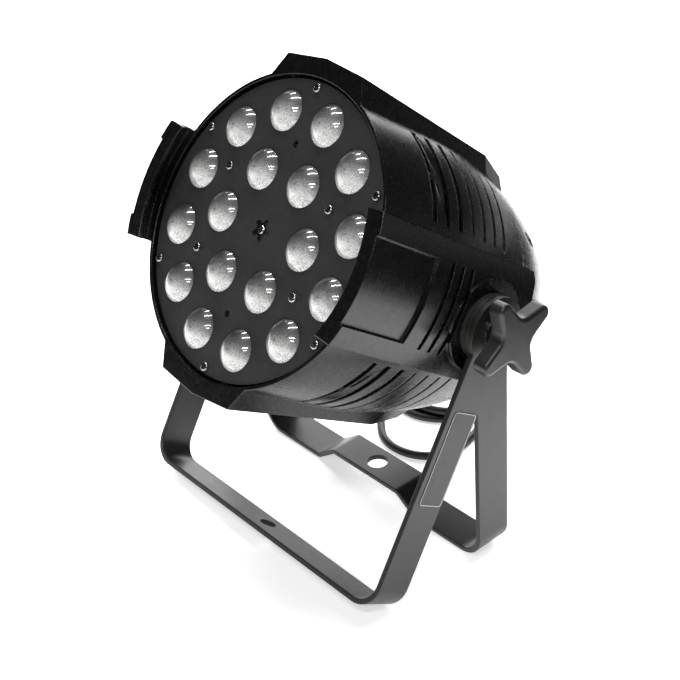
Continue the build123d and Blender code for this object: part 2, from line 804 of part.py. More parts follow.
with BuildPart() as fuse_holder:
    with BuildSketch(across(PANEL_BACK - 2)):
        with Locations(FUSE_AT):
            Circle(8.0)
    extrude(amount=2)
    with BuildSketch(across(PANEL_BACK)):
        with Locations(FUSE_AT):
            Circle(6.0)
    extrude(amount=26)
    with BuildSketch(across(PANEL_BACK - 7)):
        with Locations(FUSE_AT):
            Circle(6.2)
    extrude(amount=5)
    with BuildSketch(across(PANEL_BACK - 7)):
        with Locations(FUSE_AT):
            Rectangle(8, 1.2)
    extrude(amount=1.2, mode=Mode.SUBTRACT)
save(fuse_holder, "fuse_holder")

with BuildPart() as cable_gland:
    with BuildSketch(across(PANEL_BACK - 5)):
        with Locations(GLAND_AT):
            RegularPolygon(10.4, 6)
    extrude(amount=5)
    with BuildSketch(across(PANEL_BACK)):
        with Locations(GLAND_AT):
            Circle(8.0)
    extrude(amount=10)
    with BuildSketch(across(PANEL_BACK + PANEL_THICKNESS)):
        with Locations(GLAND_AT):
            RegularPolygon(10.4, 6)
    extrude(amount=5)
    with BuildSketch(across(PANEL_BACK - 14)):
        with Locations(GLAND_AT):
            Circle(8.6)
    extrude(amount=9)
    with BuildSketch(across(PANEL_BACK - 14)):
        with Locations(GLAND_AT):
            Circle(CORD_DIAMETER / 2 + 0.05)
    extrude(amount=30, mode=Mode.SUBTRACT)
save(cable_gland, "cable_gland")

SAFETY_EYE_AT = (0.0, 46.0)

with BuildPart() as safety_eye:
    with BuildLine():
        FilletPolyline(
            *[in_head(x, SAFETY_EYE_AT[1], PANEL_BACK - s) for x, s in ((-8, 0), (-8, 13), (8, 13), (8, 0))],
            radius=6,
        )
    with BuildSketch(Plane(origin=in_head(-8, SAFETY_EYE_AT[1], PANEL_BACK), z_dir=-FORWARD)):
        Circle(1.6)
    sweep()
save(safety_eye, "safety_eye")

# ---------------------------------------------------------------- brackets

def bracket_plane(angle):
    """Plane of a U bracket: x across, y from the foot towards the pivot; angle leans the foot forward."""
    foot = Vector(0, -sin(radians(angle)), -cos(radians(angle)))
    return Plane(origin=PIVOT, x_dir=(1, 0, 0), z_dir=Vector(1, 0, 0).cross(-foot))


def leg_length(angle):
    """Pivot to the outer face of the bar, so that the strip's lower edge meets the floor."""
    lean = radians(abs(angle))
    return (PIVOT_HEIGHT - (STRIP_WIDTH / 2 - STRIP_CHAMFER) * sin(lean)) / cos(lean)


def u_bracket(angle, half_width, corners, radii, hole_radius, bar_face):
    """Flat strip bent into a U, with round pads at its pivots and one mounting hole in its bar."""
    plane = bracket_plane(angle)
    with BuildPart() as bracket:
        with BuildSketch(plane):
            with BuildLine():
                FilletPolyline(*corners, radius=radii)
            trace(line_width=STRIP_THICKNESS)
        extrude(amount=STRIP_WIDTH / 2, both=True)
        chamfer(bracket.faces().filter_by(plane).edges(), STRIP_CHAMFER)
        for side in (-1, 1):
            with BuildSketch(Plane(origin=PIVOT, x_dir=(0, 1, 0), z_dir=(side, 0, 0)).offset(half_width)):
                Circle(LEG_PAD_RADIUS)
            extrude(amount=-STRIP_THICKNESS)
        with BuildSketch(PIVOT_SIDE):
            Circle(STUD_RADIUS + 0.3)
        extrude(amount=half_width + 5, both=True, mode=Mode.SUBTRACT)
        bar_middle = plane.from_local_coords((0, bar_face, 0))
        bar_plane = Plane(origin=bar_middle, x_dir=(1, 0, 0), z_dir=plane.y_dir)
        with BuildSketch(bar_plane):
            Circle(hole_radius)
        extrude(amount=10, both=True, mode=Mode.SUBTRACT)
    return bracket


front_mid = FRONT_BRACKET_HALF - STRIP_THICKNESS / 2
front_leg = leg_length(FRONT_BRACKET_ANGLE) - STRIP_THICKNESS / 2
front_bracket = u_bracket(
    FRONT_BRACKET_ANGLE,
    FRONT_BRACKET_HALF,
    [(-front_mid, 0), (-front_mid, -front_leg), (front_mid, -front_leg), (front_mid, 0)],
    BEND_RADIUS,
    6.5,
    -front_leg,
)
save(front_bracket, "front_bracket")

BAR_RAISE = 13.9
RAISE_TOP_HALF = 38.0
RAISE_FOOT_HALF = 58.0

rear_mid = REAR_BRACKET_HALF - STRIP_THICKNESS / 2
rear_leg = leg_length(REAR_BRACKET_ANGLE) - STRIP_THICKNESS / 2
raised = -rear_leg + BAR_RAISE
rear_bracket = u_bracket(
    REAR_BRACKET_ANGLE,
    REAR_BRACKET_HALF,
    [
        (-rear_mid, 0),
        (-rear_mid, -rear_leg),
        (-RAISE_FOOT_HALF, -rear_leg),
        (-RAISE_TOP_HALF, raised),
        (RAISE_TOP_HALF, raised),
        (RAISE_FOOT_HALF, -rear_leg),
        (rear_mid, -rear_leg),
        (rear_mid, 0),
    ],
    [BEND_RADIUS, 5.0, 5.0, 5.0, 5.0, BEND_RADIUS],
    8.5,
    raised,
)
save(rear_bracket, "rear_bracket")

LABEL_DOWN = 94.0
LABEL_WIDTH = 24.0
LABEL_HEIGHT = 70.0
LABEL_SHIFT = 1.9

front_plane = bracket_plane(FRONT_BRACKET_ANGLE)
label_plane = Plane(
    origin=front_plane.from_local_coords((FRONT_BRACKET_HALF, -LABEL_DOWN, 0)),
    x_dir=-front_plane.z_dir,
    z_dir=(1, 0, 0),
)
with BuildPart() as bracket_label:
    with BuildSketch(label_plane):
        with Locations((LABEL_SHIFT, 0)):
            RectangleRounded(LABEL_WIDTH, LABEL_HEIGHT, 3)
    extrude(amount=0.3)
save(bracket_label, "bracket_label")

# ---------------------------------------------------------------- pivots and clamp knobs

KNOB_LOBE_ANGLE = 56.3
KNOB_LOBE_REACH = 27.2
KNOB_LOBE_RADIUS = 5.8
KNOB_CENTRE_RADIUS = 15.0


def star_face(plane, shrink=0.0):
    """Four rounded lobes joined by hollow curves."""
    with BuildSketch(plane) as star:
        for lobe in range(4):
            angle = radians(KNOB_LOBE_ANGLE + 90 * lobe)
            tip = (KNOB_LOBE_REACH * cos(angle), KNOB_LOBE_REACH * sin(angle))
            with BuildSketch(mode=Mode.PRIVATE) as arm:
                Circle(KNOB_CENTRE_RADIUS - 3)
                with Locations(tip):
                    Circle(KNOB_LOBE_RADIUS)
                make_hull()
            add(arm.sketch)
        concave = star.vertices().filter_by(lambda v: v.center().length < KNOB_LOBE_REACH * 0.9)
        fillet(concave, 9.0)
        if shrink:
            offset(amount=-shrink, mode=Mode.REPLACE)
    return star.sketch


for name, side in (("left", -1), ("right", 1)):
    outward = Plane(origin=PIVOT, x_dir=-FORWARD, z_dir=(side, 0, 0))
    with BuildPart() as insert:
        with BuildSketch(outward.offset(108)):
            Circle(9.0)
            Circle(STUD_RADIUS + 0.05, mode=Mode.SUBTRACT)
        extrude(amount=BOSS_FACE - 108)
    save(insert, f"pivot_insert_{name}")

    with BuildPart() as friction_disc:
        with BuildSketch(outward.offset(BOSS_FACE)):
            Circle(LEG_PAD_RADIUS - 0.5)
            Circle(STUD_RADIUS + 0.3, mode=Mode.SUBTRACT)
        extrude(amount=REAR_BRACKET_HALF - STRIP_THICKNESS - BOSS_FACE - 0.05)
    save(friction_disc, f"friction_disc_{name}")

    with BuildPart() as washer:
        with BuildSketch(outward.offset(FRONT_BRACKET_HALF + 0.05)):
            Circle(12.0)
            Circle(STUD_RADIUS + 0.1, mode=Mode.SUBTRACT)
        extrude(amount=1.6)
    save(washer, f"knob_washer_{name}")

    with BuildPart() as stud:
        with BuildSketch(outward.offset(109)):
            Circle(STUD_RADIUS)
        extrude(amount=KNOB_FACE - 4 - 109)
    save(stud, f"knob_stud_{name}")

    with BuildPart() as knob:
        with BuildSketch(outward.offset(KNOB_BACK)):
            Circle(10.5)
        extrude(amount=KNOB_HEAD_BACK - KNOB_BACK)
        with BuildSketch(outward.offset(KNOB_HEAD_BACK)):
            add(star_face(Plane.XY))
        extrude(amount=KNOB_FACE - KNOB_HEAD_BACK)
        rim = knob.faces().sort_by(Axis(PIVOT, (side, 0, 0)))[-1]
        fillet(rim.edges(), 2.6)
        with BuildSketch(outward.offset(KNOB_HEAD_BACK)):
            add(star_face(Plane.XY, 2.4))
            Circle(10.5, mode=Mode.SUBTRACT)
        extrude(amount=6.5, mode=Mode.SUBTRACT)
        with BuildSketch(outward.offset(KNOB_BACK)):
            Circle(STUD_RADIUS)
        extrude(amount=KNOB_FACE - 4 - KNOB_BACK, mode=Mode.SUBTRACT)
    save(knob, f"knob_{name}")

# ---------------------------------------------------------------- mains lead

CORD_RADIUS = CORD_DIAMETER / 2
RELIEF_FRONT = PANEL_BACK - 14
RELIEF_BACK = PANEL_BACK - 40

with BuildPart() as strain_relief:
    with BuildSketch(across(RELIEF_FRONT)):
        with Locations(GLAND_AT):
            Circle(7.6)
    with BuildSketch(across(RELIEF_BACK)):
        with Locations(GLAND_AT):
            Circle(5.2)
    loft()
    with BuildSketch(across(RELIEF_BACK)):
        with Locations(GLAND_AT):
            Circle(CORD_RADIUS + 0.05)
    extrude(amount=30, mode=Mode.SUBTRACT)
save(strain_relief, "strain_relief")

COIL_MIDDLE_RADIUS = 38.5
COIL_LAYERS = 2
COIL_HEIGHT = COIL_LAYERS * CORD_DIAMETER
COIL_INNER = COIL_MIDDLE_RADIUS - CORD_DIAMETER
COIL_OUTER = COIL_MIDDLE_RADIUS + CORD_DIAMETER

with BuildPart() as cord_coil:
    with BuildSketch(Plane.XY):
        with Locations(COIL_CENTRE):
            Circle(COIL_OUTER)
            Circle(COIL_INNER, mode=Mode.SUBTRACT)
    extrude(amount=COIL_HEIGHT)
    fillet(cord_coil.edges().filter_by(GeomType.CIRCLE), 3.0)
save(cord_coil, "cord_coil")


def corner_radii(points):
    """Each arc takes 0.45 of its shorter run, whatever its turn."""
    radii = []
    for before, corner, after in zip(points, points[1:], points[2:]):
        run_in = corner - before
        run_out = after - corner
        turn = radians(run_in.get_angle(run_out))
        shorter = min(run_in.length, run_out.length)
        radii.append(0.45 * shorter * cos(turn / 2) / sin(turn / 2))
    return radii


def cord_tube(name, points):
    vectors = [Vector(*point) for point in points]
    radii = corner_radii(vectors)
    print(name, "radii", [round(r) for r in radii])
    with BuildPart() as tube:
        with BuildLine() as path:
            FilletPolyline(*vectors, radius=radii)
        first_run = vectors[1] - vectors[0]
        with BuildSketch(Plane(origin=vectors[0], z_dir=first_run)):
            Circle(CORD_RADIUS)
        sweep()
    length = path.wires()[0].length
    solid_length = tube.part.volume / (pi * CORD_RADIUS ** 2)
    print(name, "route length", round(length, 1), "and from its volume", round(solid_length, 1))
    save(tube, name)


gland_mouth = in_head(GLAND_AT[0], GLAND_AT[1], PANEL_BACK - 6)
after_relief = in_head(GLAND_AT[0], GLAND_AT[1], PANEL_BACK - 56)

# out of the gland, down to the floor behind, and once round the coil as a loose turn
cord_tube("cord_drop", [
    (gland_mouth.X, gland_mouth.Y, gland_mouth.Z),
    (after_relief.X, after_relief.Y, after_relief.Z),
    (-20, 186, 38),
    (-42, 206, 16),
    (-68, 206, 3.6),
    (-90, 191, 3.6),
    (-111, 161, 3.6),
    (-108, 126, 3.6),
    (-88, 100, 3.6),
    (-66, 80, 3.6),
    (-44, 61, 3.6),
    (-20, 56, 3.6),
    (2, 66, 3.6),
    (13, 88, 3.6),
    (8, 114, 3.6),
    (-2, 139, 3.6),
    (-16, 162, 3.6),
])

PLUG_RADIUS = 17.8
PLUG_AT = (-133.6, 152.0, PLUG_RADIUS)
# off the top of the coil, over the loose turn and into the plug
cord_tube("cord_tail", [
    (-58, 189, 10.5),
    (-80, 196, 12),
    (-104, 199, 15),
    (-122, 193, 17),
    (PLUG_AT[0], 177, PLUG_RADIUS),
    (PLUG_AT[0], PLUG_AT[1] + 6, PLUG_RADIUS),
])

plug_plane = Plane(origin=PLUG_AT, x_dir=(1, 0, 0), z_dir=(0, -1, 0))
PLUG_LENGTH = 34.0
PIN_SPACING = 19.0
PIN_RADIUS = 2.4
PIN_LENGTH = 19.0

with BuildPart() as plug:
    with BuildSketch(plug_plane.offset(-16)):
        Circle(5.2)
    with BuildSketch(plug_plane):
        Circle(8.5)
    loft()
    with BuildSketch(plug_plane):
        Circle(11.0)
    with BuildSketch(plug_plane.offset(12)):
        Circle(PLUG_RADIUS)
    loft()
    with BuildSketch(plug_plane.offset(12)):
        Circle(PLUG_RADIUS)
    extrude(amount=PLUG_LENGTH - 12)
    with BuildSketch(plug_plane.offset(PLUG_LENGTH)):
        with GridLocations(PIN_SPACING, 0.001, 2, 1):
            Circle(PIN_RADIUS)
    extrude(amount=PIN_LENGTH)
    with BuildSketch(plug_plane.offset(-16)):
        Circle(CORD_RADIUS + 0.05)
    extrude(amount=10, mode=Mode.SUBTRACT)
save(plug, "mains_plug")
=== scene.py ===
import json
from math import cos, pi, radians, sin

import bmesh
import bpy
from mathutils import Matrix, Vector


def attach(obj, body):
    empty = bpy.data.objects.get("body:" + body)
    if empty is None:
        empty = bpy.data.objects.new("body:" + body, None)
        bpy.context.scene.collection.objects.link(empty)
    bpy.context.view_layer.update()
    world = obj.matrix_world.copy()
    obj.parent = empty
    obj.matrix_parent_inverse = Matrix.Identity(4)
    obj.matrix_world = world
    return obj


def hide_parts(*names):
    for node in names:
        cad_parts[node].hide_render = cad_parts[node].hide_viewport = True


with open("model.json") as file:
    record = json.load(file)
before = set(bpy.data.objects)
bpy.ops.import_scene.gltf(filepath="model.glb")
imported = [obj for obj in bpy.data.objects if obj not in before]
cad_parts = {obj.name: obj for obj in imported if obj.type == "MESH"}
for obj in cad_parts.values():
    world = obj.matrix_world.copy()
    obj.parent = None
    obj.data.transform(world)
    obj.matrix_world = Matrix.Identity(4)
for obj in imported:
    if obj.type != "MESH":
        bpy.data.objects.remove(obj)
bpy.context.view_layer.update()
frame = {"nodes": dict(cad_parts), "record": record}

NODES = frame["nodes"]
MM = 0.001

# ---------------------------------------------------------------- the head's own frame

HEAD_TILT = radians(29.5)
PIVOT = Vector((0, -2.45, 195.4)) * MM
FORWARD = Vector((0, -cos(HEAD_TILT), sin(HEAD_TILT)))
HEAD_UP = Vector((0, sin(HEAD_TILT), cos(HEAD_TILT)))
HEAD_ORIGIN = PIVOT + FORWARD * 109.7 * MM + HEAD_UP * 1.7 * MM
HEAD = Matrix((
    (1, HEAD_UP.x, FORWARD.x, HEAD_ORIGIN.x),
    (0, HEAD_UP.y, FORWARD.y, HEAD_ORIGIN.y),
    (0, HEAD_UP.z, FORWARD.z, HEAD_ORIGIN.z),
    (0, 0, 0, 1),
))


def in_head(x, y, station):
    """World place of a point given in millimetres across, up and in front of the lens plate."""
    return HEAD @ Vector((x * MM, y * MM, station * MM))


# ---------------------------------------------------------------- camera

CAMERA_FROM_PIVOT = Vector((645.2, -584.4, 590.5 - 195.4)) * MM
CAMERA_FORWARD = Vector((-0.66863, 0.58155, -0.46339))
CAMERA_ROLL = radians(0.66)
CAMERA_LENS = 68.85


def make_camera():
    data = bpy.data.cameras.new("camera")
    data.lens = CAMERA_LENS
    data.sensor_width = 36.0
    camera = bpy.data.objects.new("camera", data)
    bpy.context.scene.collection.objects.link(camera)
    turn = CAMERA_FORWARD.to_track_quat("-Z", "Y").to_matrix().to_4x4()
    roll = Matrix.Rotation(CAMERA_ROLL, 4, "Z")
    camera.matrix_world = Matrix.Translation(PIVOT + CAMERA_FROM_PIVOT) @ turn @ roll
    bpy.context.scene.camera = camera


make_camera()

# ---------------------------------------------------------------- mains lead

CORD_DIAMETER = 7.0
COIL_CENTRE = (-60.0, 148.0)
COIL_LAYERS = (3.6, 10.5)
COIL_RADII = (42.0, 35.0)
POINTS_PER_TURN = 14
COIL_FIRST_ANGLE = radians(22)
COIL_STEPS_LEFT_OUT = 11
COIL_EASE_STEPS = 4

LEAD_DROP = [
    (-20, 186, 38),
    (-42, 206, 16),
    (-68, 206, 3.6),
    (-90, 191, 3.6),
    (-111, 161, 3.6),
    (-108, 126, 3.6),
    (-88, 100, 3.6),
    (-66, 80, 3.6),
    (-44, 61, 3.6),
    (-20, 56, 3.6),
    (2, 66, 3.6),
    (13, 88, 3.6),
    (8, 114, 3.6),
    (-2, 139, 3.6),
]
LEAD_TAIL = [
    (-80, 196, 12),
    (-104, 199, 15),
    (-122, 193, 17),
    (-133.6, 177, 17.8),
    (-133.6, 158, 17.8),
]
GLAND_AT = (-12.0, -37.0)
PANEL_BACK = -253.5
LEAD_MOUTH_BEHIND_PANEL = 6
RELIEF_END_BEHIND_PANEL = 56


def coil_turns():
    """Two layers of two turns: in along the floor, up, and out again on top."""
    rings = (
        (COIL_RADII[0], COIL_LAYERS[0]),
        (COIL_RADII[1], COIL_LAYERS[0]),
        (COIL_RADII[1], COIL_LAYERS[1]),
        (COIL_RADII[0], COIL_LAYERS[1]),
    )
    points = []
    steps = len(rings) * POINTS_PER_TURN - COIL_STEPS_LEFT_OUT
    for step in range(steps):
        turn, part = divmod(step, POINTS_PER_TURN)
        radius, height = rings[turn]
        following = rings[min(turn + 1, len(rings) - 1)]
        ease = max(0.0, (part - POINTS_PER_TURN + COIL_EASE_STEPS) / COIL_EASE_STEPS)
        radius += (following[0] - radius) * ease
        height += (following[1] - height) * ease
        angle = COIL_FIRST_ANGLE + 2 * pi * step / POINTS_PER_TURN
        across, along = radius * cos(angle), radius * sin(angle)
        points.append((COIL_CENTRE[0] + across, COIL_CENTRE[1] + along, height))
    return points


def nurbs_curve(name, points, radius):
    """One open, smooth spline shaped by control points in metres.

    The bevel is one metre and each point's radius scales it, so that the piece's box is true.
    """
    data = bpy.data.curves.new(name, "CURVE")
    data.dimensions = "3D"
    data.bevel_depth = 1.0
    data.bevel_resolution = 6
    data.resolution_u = 8
    data.use_fill_caps = True
    spline = data.splines.new("NURBS")
    spline.points.add(len(points) - 1)
    for place, point in zip(spline.points, points):
        place.co = (*point, 1.0)
        place.radius = radius
    spline.order_u = 3
    spline.use_endpoint_u = True
    piece = bpy.data.objects.new(name, data)
    bpy.context.scene.collection.objects.link(piece)
    return piece


def make_lead():
    mouth = in_head(*GLAND_AT, PANEL_BACK - LEAD_MOUTH_BEHIND_PANEL)
    after_relief = in_head(*GLAND_AT, PANEL_BACK - RELIEF_END_BEHIND_PANEL)
    route = [mouth, after_relief]
    route += [Vector(p) * MM for p in LEAD_DROP + coil_turns() + LEAD_TAIL]
    lead = nurbs_curve("mains_lead", route, CORD_DIAMETER / 2 * MM)
    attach(lead, "head")
    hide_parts("cord_drop", "cord_coil", "cord_tail")
    return lead, mouth


lead, lead_exit = make_lead()

# ---------------------------------------------------------------- materials


class Shader:
    """A procedural material: one Principled shader and the noise that breaks up its finish."""

    def __init__(self, name, colour, roughness, metallic=0.0, **sockets):
        self.material = bpy.data.materials.new(name)
        self.material.use_nodes = True
        self.tree = self.material.node_tree
        self.shader = self.tree.nodes["Principled BSDF"]
        self.shader.inputs["Metallic"].default_value = metallic
        self.colour = colour
        self.shader.inputs["Base Color"].default_value = (*colour, 1)
        self.shader.inputs["Roughness"].default_value = roughness
        self.roughness = roughness
        for socket, value in sockets.items():
            self.shader.inputs[socket.replace("_", " ")].default_value = value
        self.place = self.node("ShaderNodeTexCoord").outputs["Object"]

    def node(self, kind, **values):
        made = self.tree.nodes.new(kind)
        for key, value in values.items():
            setattr(made, key, value)
        return made

    def link(self, source, target):
        self.tree.links.new(source, target)

    def noise(self, scale, detail=3.0, stretch=None):
        made = self.node("ShaderNodeTexNoise")
        made.inputs["Scale"].default_value = scale
        made.inputs["Detail"].default_value = detail
        place = self.place
        if stretch:
            mapping = self.node("ShaderNodeMapping")
            mapping.inputs["Scale"].default_value = stretch
            self.link(place, mapping.inputs["Vector"])
            place = mapping.outputs["Vector"]
        self.link(place, made.inputs["Vector"])
        return made.outputs["Fac"]

    def spread(self, factor, low, high, start=0.3, end=0.7):
        """factor mapped onto a range of values."""
        made = self.node("ShaderNodeMapRange")
        made.inputs["From Min"].default_value = start
        made.inputs["From Max"].default_value = end
        made.inputs["To Min"].default_value = low
        made.inputs["To Max"].default_value = high
        self.link(factor, made.inputs["Value"])
        return made.outputs["Result"]

    def vary_colour(self, factor, other, start=0.35, end=0.65):
        ramp = self.node("ShaderNodeValToRGB")
        ramp.color_ramp.elements[0].position = start
        ramp.color_ramp.elements[0].color = (*self.colour, 1)
        ramp.color_ramp.elements[1].position = end
        ramp.color_ramp.elements[1].color = (*other, 1)
        self.link(factor, ramp.inputs["Fac"])
        self.link(ramp.outputs["Color"], self.shader.inputs["Base Color"])
        return self

    def vary_roughness(self, factor, spread):
        low, high = self.roughness - spread, self.roughness + spread
        self.link(self.spread(factor, low, high), self.shader.inputs["Roughness"])
        return self

    def bump(self, factor, height, strength=1.0, edge=0.0):
        """Fine relief; edge is the radius in metres to which hard edges look rounded."""
        made = self.node("ShaderNodeBump")
        made.inputs["Strength"].default_value = strength
        made.inputs["Distance"].default_value = height
        self.link(factor, made.inputs["Height"])
        if edge:
            rounded = self.node("ShaderNodeBevel", samples=8)
            rounded.inputs["Radius"].default_value = edge
            self.link(rounded.outputs["Normal"], made.inputs["Normal"])
        self.link(made.outputs["Normal"], self.shader.inputs["Normal"])
        return self


def powder_coat(name, colour, roughness, grain=900.0, height=0.000012, edge=0.0012, gloss=0.4):
    """Satin paint with a fine orange-peel skin and faint handling marks."""
    s = Shader(name, colour, roughness, Specular_IOR_Level=gloss)
    s.vary_colour(s.noise(240.0, 6.0), tuple(c * 1.25 + 0.0005 for c in colour))
    s.vary_roughness(s.noise(160.0, 4.0), 0.025)
    s.bump(s.noise(grain, 2.0), height, edge=edge)
    return s.material


def brushed(name, colour, roughness, stretch, metallic=1.0):
    s = Shader(name, colour, roughness, metallic)
    s.vary_colour(s.noise(60.0, 4.0), tuple(c * 0.72 for c in colour))
    lines = s.noise(220.0, 3.0, stretch)
    s.vary_roughness(lines, 0.1)
    s.bump(lines, 0.00003)
    return s.material


def moulded(name, colour, roughness, grain=1400.0, height=0.00004):
    """Moulded plastic or rubber with a fine spark-eroded grain."""
    s = Shader(name, colour, roughness)
    s.vary_colour(s.noise(30.0, 5.0), tuple(c * 1.35 + 0.003 for c in colour))
    s.vary_roughness(s.noise(45.0, 4.0), 0.06)
    s.bump(s.noise(grain, 3.0), height, edge=0.0005)
    return s.material


def circuit(name, colour):
    s = Shader(name, colour, 0.4)
    s.vary_colour(s.noise(120.0, 1.0, (1, 6, 6)), tuple(c * 0.5 for c in colour), 0.48, 0.52)
    s.bump(s.noise(400.0, 2.0), 0.00005)
    return s.material


# painted light and shade across each lens: dark at the upper left (painted shade), a bright patch low
# down (painted light), then a thin darker arc and a bright rim at the bottom
LENS_PAINTED_LIGHT = (
    (0.0, 0.02),
    (0.3, 0.06),
    (0.5, 0.17),
    (0.66, 0.36),
    (0.77, 0.62),
    (0.83, 0.66),
    (0.87, 0.2),
    (0.9, 0.3),
    (0.94, 0.7),
    (1.0, 0.6),
)


def lens_skin():
    """Moulded collimator: clear coat over a frosted skin whose grey is painted light and shade, brighter
    towards each dome's lower side.
    """
    coat = {"Coat_Weight": 1.0, "Coat_Roughness": 0.025, "Coat_IOR": 1.75}
    s = Shader("lens_moulding", (0.6, 0.6, 0.59), 0.4, **coat)
    normal = s.node("ShaderNodeTexCoord").outputs["Normal"]
    # painted light: the lens grey follows how far each surface faces down, forward and to the right in
    # the head's frame
    glow = s.node("ShaderNodeVectorMath", operation="DOT_PRODUCT")
    glow.inputs[1].default_value = (HEAD_UP * -0.72 + FORWARD * 0.6 + Vector((0.34, 0, 0))).normalized()
    s.link(normal, glow.inputs[0])
    cells = s.node("ShaderNodeTexVoronoi")
    cells.inputs["Scale"].default_value = 950.0
    s.link(s.place, cells.inputs["Vector"])
    speckle = s.spread(cells.outputs["Distance"], 0.05, -0.13, 0.1, 0.8)
    shaded = s.node("ShaderNodeMath", operation="ADD")
    s.link(glow.outputs["Value"], shaded.inputs[0])
    s.link(speckle, shaded.inputs[1])
    ramp = s.node("ShaderNodeValToRGB")
    ramp.color_ramp.interpolation = "EASE"
    while len(ramp.color_ramp.elements) < len(LENS_PAINTED_LIGHT):
        ramp.color_ramp.elements.new(0.5)
    for element, (position, grey) in zip(ramp.color_ramp.elements, LENS_PAINTED_LIGHT):
        element.position = position
        element.color = (grey, grey, grey * 0.985, 1)
    s.link(shaded.outputs["Value"], ramp.inputs["Fac"])
    s.link(ramp.outputs["Color"], s.shader.inputs["Base Color"])
    s.bump(cells.outputs["Distance"], 0.00012, 0.5)
    return s.material


MATERIALS = {
    "cast_black": powder_coat("housing_paint", (0.0018, 0.0018, 0.0017), 0.27, gloss=0.5),
    "bracket_paint": powder_coat("bracket_paint", (0.0065, 0.0068, 0.0058), 0.38, edge=0.0006, gloss=0.5),
    "plate_black": powder_coat("plate_paint", (0.0135, 0.0139, 0.0138), 0.55, 1300.0, edge=0.0003),
    "panel_black": powder_coat("panel_paint", (0.012, 0.012, 0.0125), 0.5),
    "lens_glass": lens_skin(),
    "black_plastic": moulded("black_plastic", (0.006, 0.006, 0.0063), 0.45),
    "knob_plastic": moulded("knob_plastic", (0.007, 0.0073, 0.0066), 0.36, 1100.0, 0.00003),
    "button_plastic": moulded("button_plastic", (0.05, 0.05, 0.052), 0.4),
    "bright_steel": brushed("zinc_steel", (0.4, 0.4, 0.385), 0.24, (1, 9, 9)),
    "bare_aluminium": brushed("bare_aluminium", (0.72, 0.73, 0.74), 0.4, (12, 1, 1)),
    "brass": brushed("brass", (0.06, 0.047, 0.026), 0.42, (9, 1, 9)),
    "circuit_board": circuit("circuit_board", (0.02, 0.11, 0.045)),
    "led_dome": moulded("led_dome", (0.75, 0.66, 0.25), 0.3),
    "motor_steel": brushed("motor_steel", (0.16, 0.16, 0.17), 0.4, (1, 1, 12)),
    "rubber": moulded("rubber", (0.013, 0.013, 0.0135), 0.5, 1600.0, 0.00003),
    "label_grey": powder_coat("label_face", (0.03, 0.031, 0.029), 0.42),
    "display_glass": moulded("display_window", (0.012, 0.016, 0.02), 0.12, 300.0, 0.00001),
}


def dress_nodes():
    """Every carried-over CAD node takes its record slot's material, with all its faces shaded smooth."""
    slots = {row["node"]: row["material_slot"] for row in frame["record"]["subparts"]}
    for name, node in NODES.items():
        material = MATERIALS[slots[name]]
        node.data.materials.clear()
        node.data.materials.append(material)
        for face in node.data.polygons:
            face.use_smooth = True
            face.material_index = 0


dress_nodes()
lead.data.materials.append(MATERIALS["rubber"])

# ---------------------------------------------------------------- mesh helpers


def add_piece(name, mesh_data, body, material):
    piece = bpy.data.objects.new(name, mesh_data)
    bpy.context.scene.collection.objects.link(piece)
    piece.data.materials.append(material)
    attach(piece, body)
    return piece


def finish_mesh(bm, name, smooth_angle=35):
    bmesh.ops.recalc_face_normals(bm, faces=bm.faces)
    data = bpy.data.meshes.new(name)
    bm.to_mesh(data)
    bm.free()
    for face in data.polygons:
        face.use_smooth = True
    data.set_sharp_from_angle(angle=radians(smooth_angle))
    return data


# ---------------------------------------------------------------- bracket label

FRONT_LEAN = radians(26.75)
LEG_DOWN = Vector((0, -sin(FRONT_LEAN), -cos(FRONT_LEAN)))
LEG_ACROSS = Vector((0, -cos(FRONT_LEAN), sin(FRONT_LEAN)))
LABEL_FACE = 132.8
LABEL_DOWN = 94
LABEL_SHIFT = 1.9
LABEL_HALF_WIDTH = 12
LABEL_HALF_HEIGHT = 35
LABEL_CORNER = 3
LINE_OUTER = 0.5
LINE_INNER = 1.0
LINE_LIFT = 0.06
LABEL_MIDDLE = Vector((LABEL_FACE, 0, 0)) + LEG_DOWN * LABEL_DOWN - LEG_ACROSS * LABEL_SHIFT
LABEL_MIDDLE = PIVOT + LABEL_MIDDLE * MM


def rounded_outline(half_width, half_height, radius, steps=6):
    points = []
    for corner in range(4):
        x = (half_width - radius) * (1 if corner in (0, 3) else -1)
        y = (half_height - radius) * (1 if corner in (0, 1) else -1)
        for step in range(steps + 1):
            angle = pi / 2 * (corner + step / steps)
            points.append((x + radius * cos(angle), y + radius * sin(angle)))
    return points


def make_label_outline():
    """Thin printed line round the edge of the blank label."""
    bm = bmesh.new()
    rings = []
    section = ((LINE_OUTER, 0.0), (LINE_OUTER, LINE_LIFT), (LINE_INNER, LINE_LIFT), (LINE_INNER, 0.0))
    for inset, lift in section:
        half_width, half_height = LABEL_HALF_WIDTH - inset, LABEL_HALF_HEIGHT - inset
        outline = rounded_outline(half_width, half_height, LABEL_CORNER - inset)
        ring = []
        for across, down in outline:
            place = LABEL_MIDDLE + (LEG_ACROSS * across + LEG_DOWN * down + Vector((lift, 0, 0))) * MM
            ring.append(bm.verts.new(place))
        rings.append(ring)
    count = len(rings[0])
    for first, second in zip(rings, rings[1:] + rings[:1]):
        for step in range(count):
            following = (step + 1) % count
            bm.faces.new((first[step], first[following], second[following], second[step]))
    ink = moulded("label_line", (0.55, 0.56, 0.53), 0.45, 900.0, 0.00001)
    add_piece("label_outline", finish_mesh(bm, "label_outline"), "front_bracket", ink)


make_label_outline()

# ---------------------------------------------------------------- studio


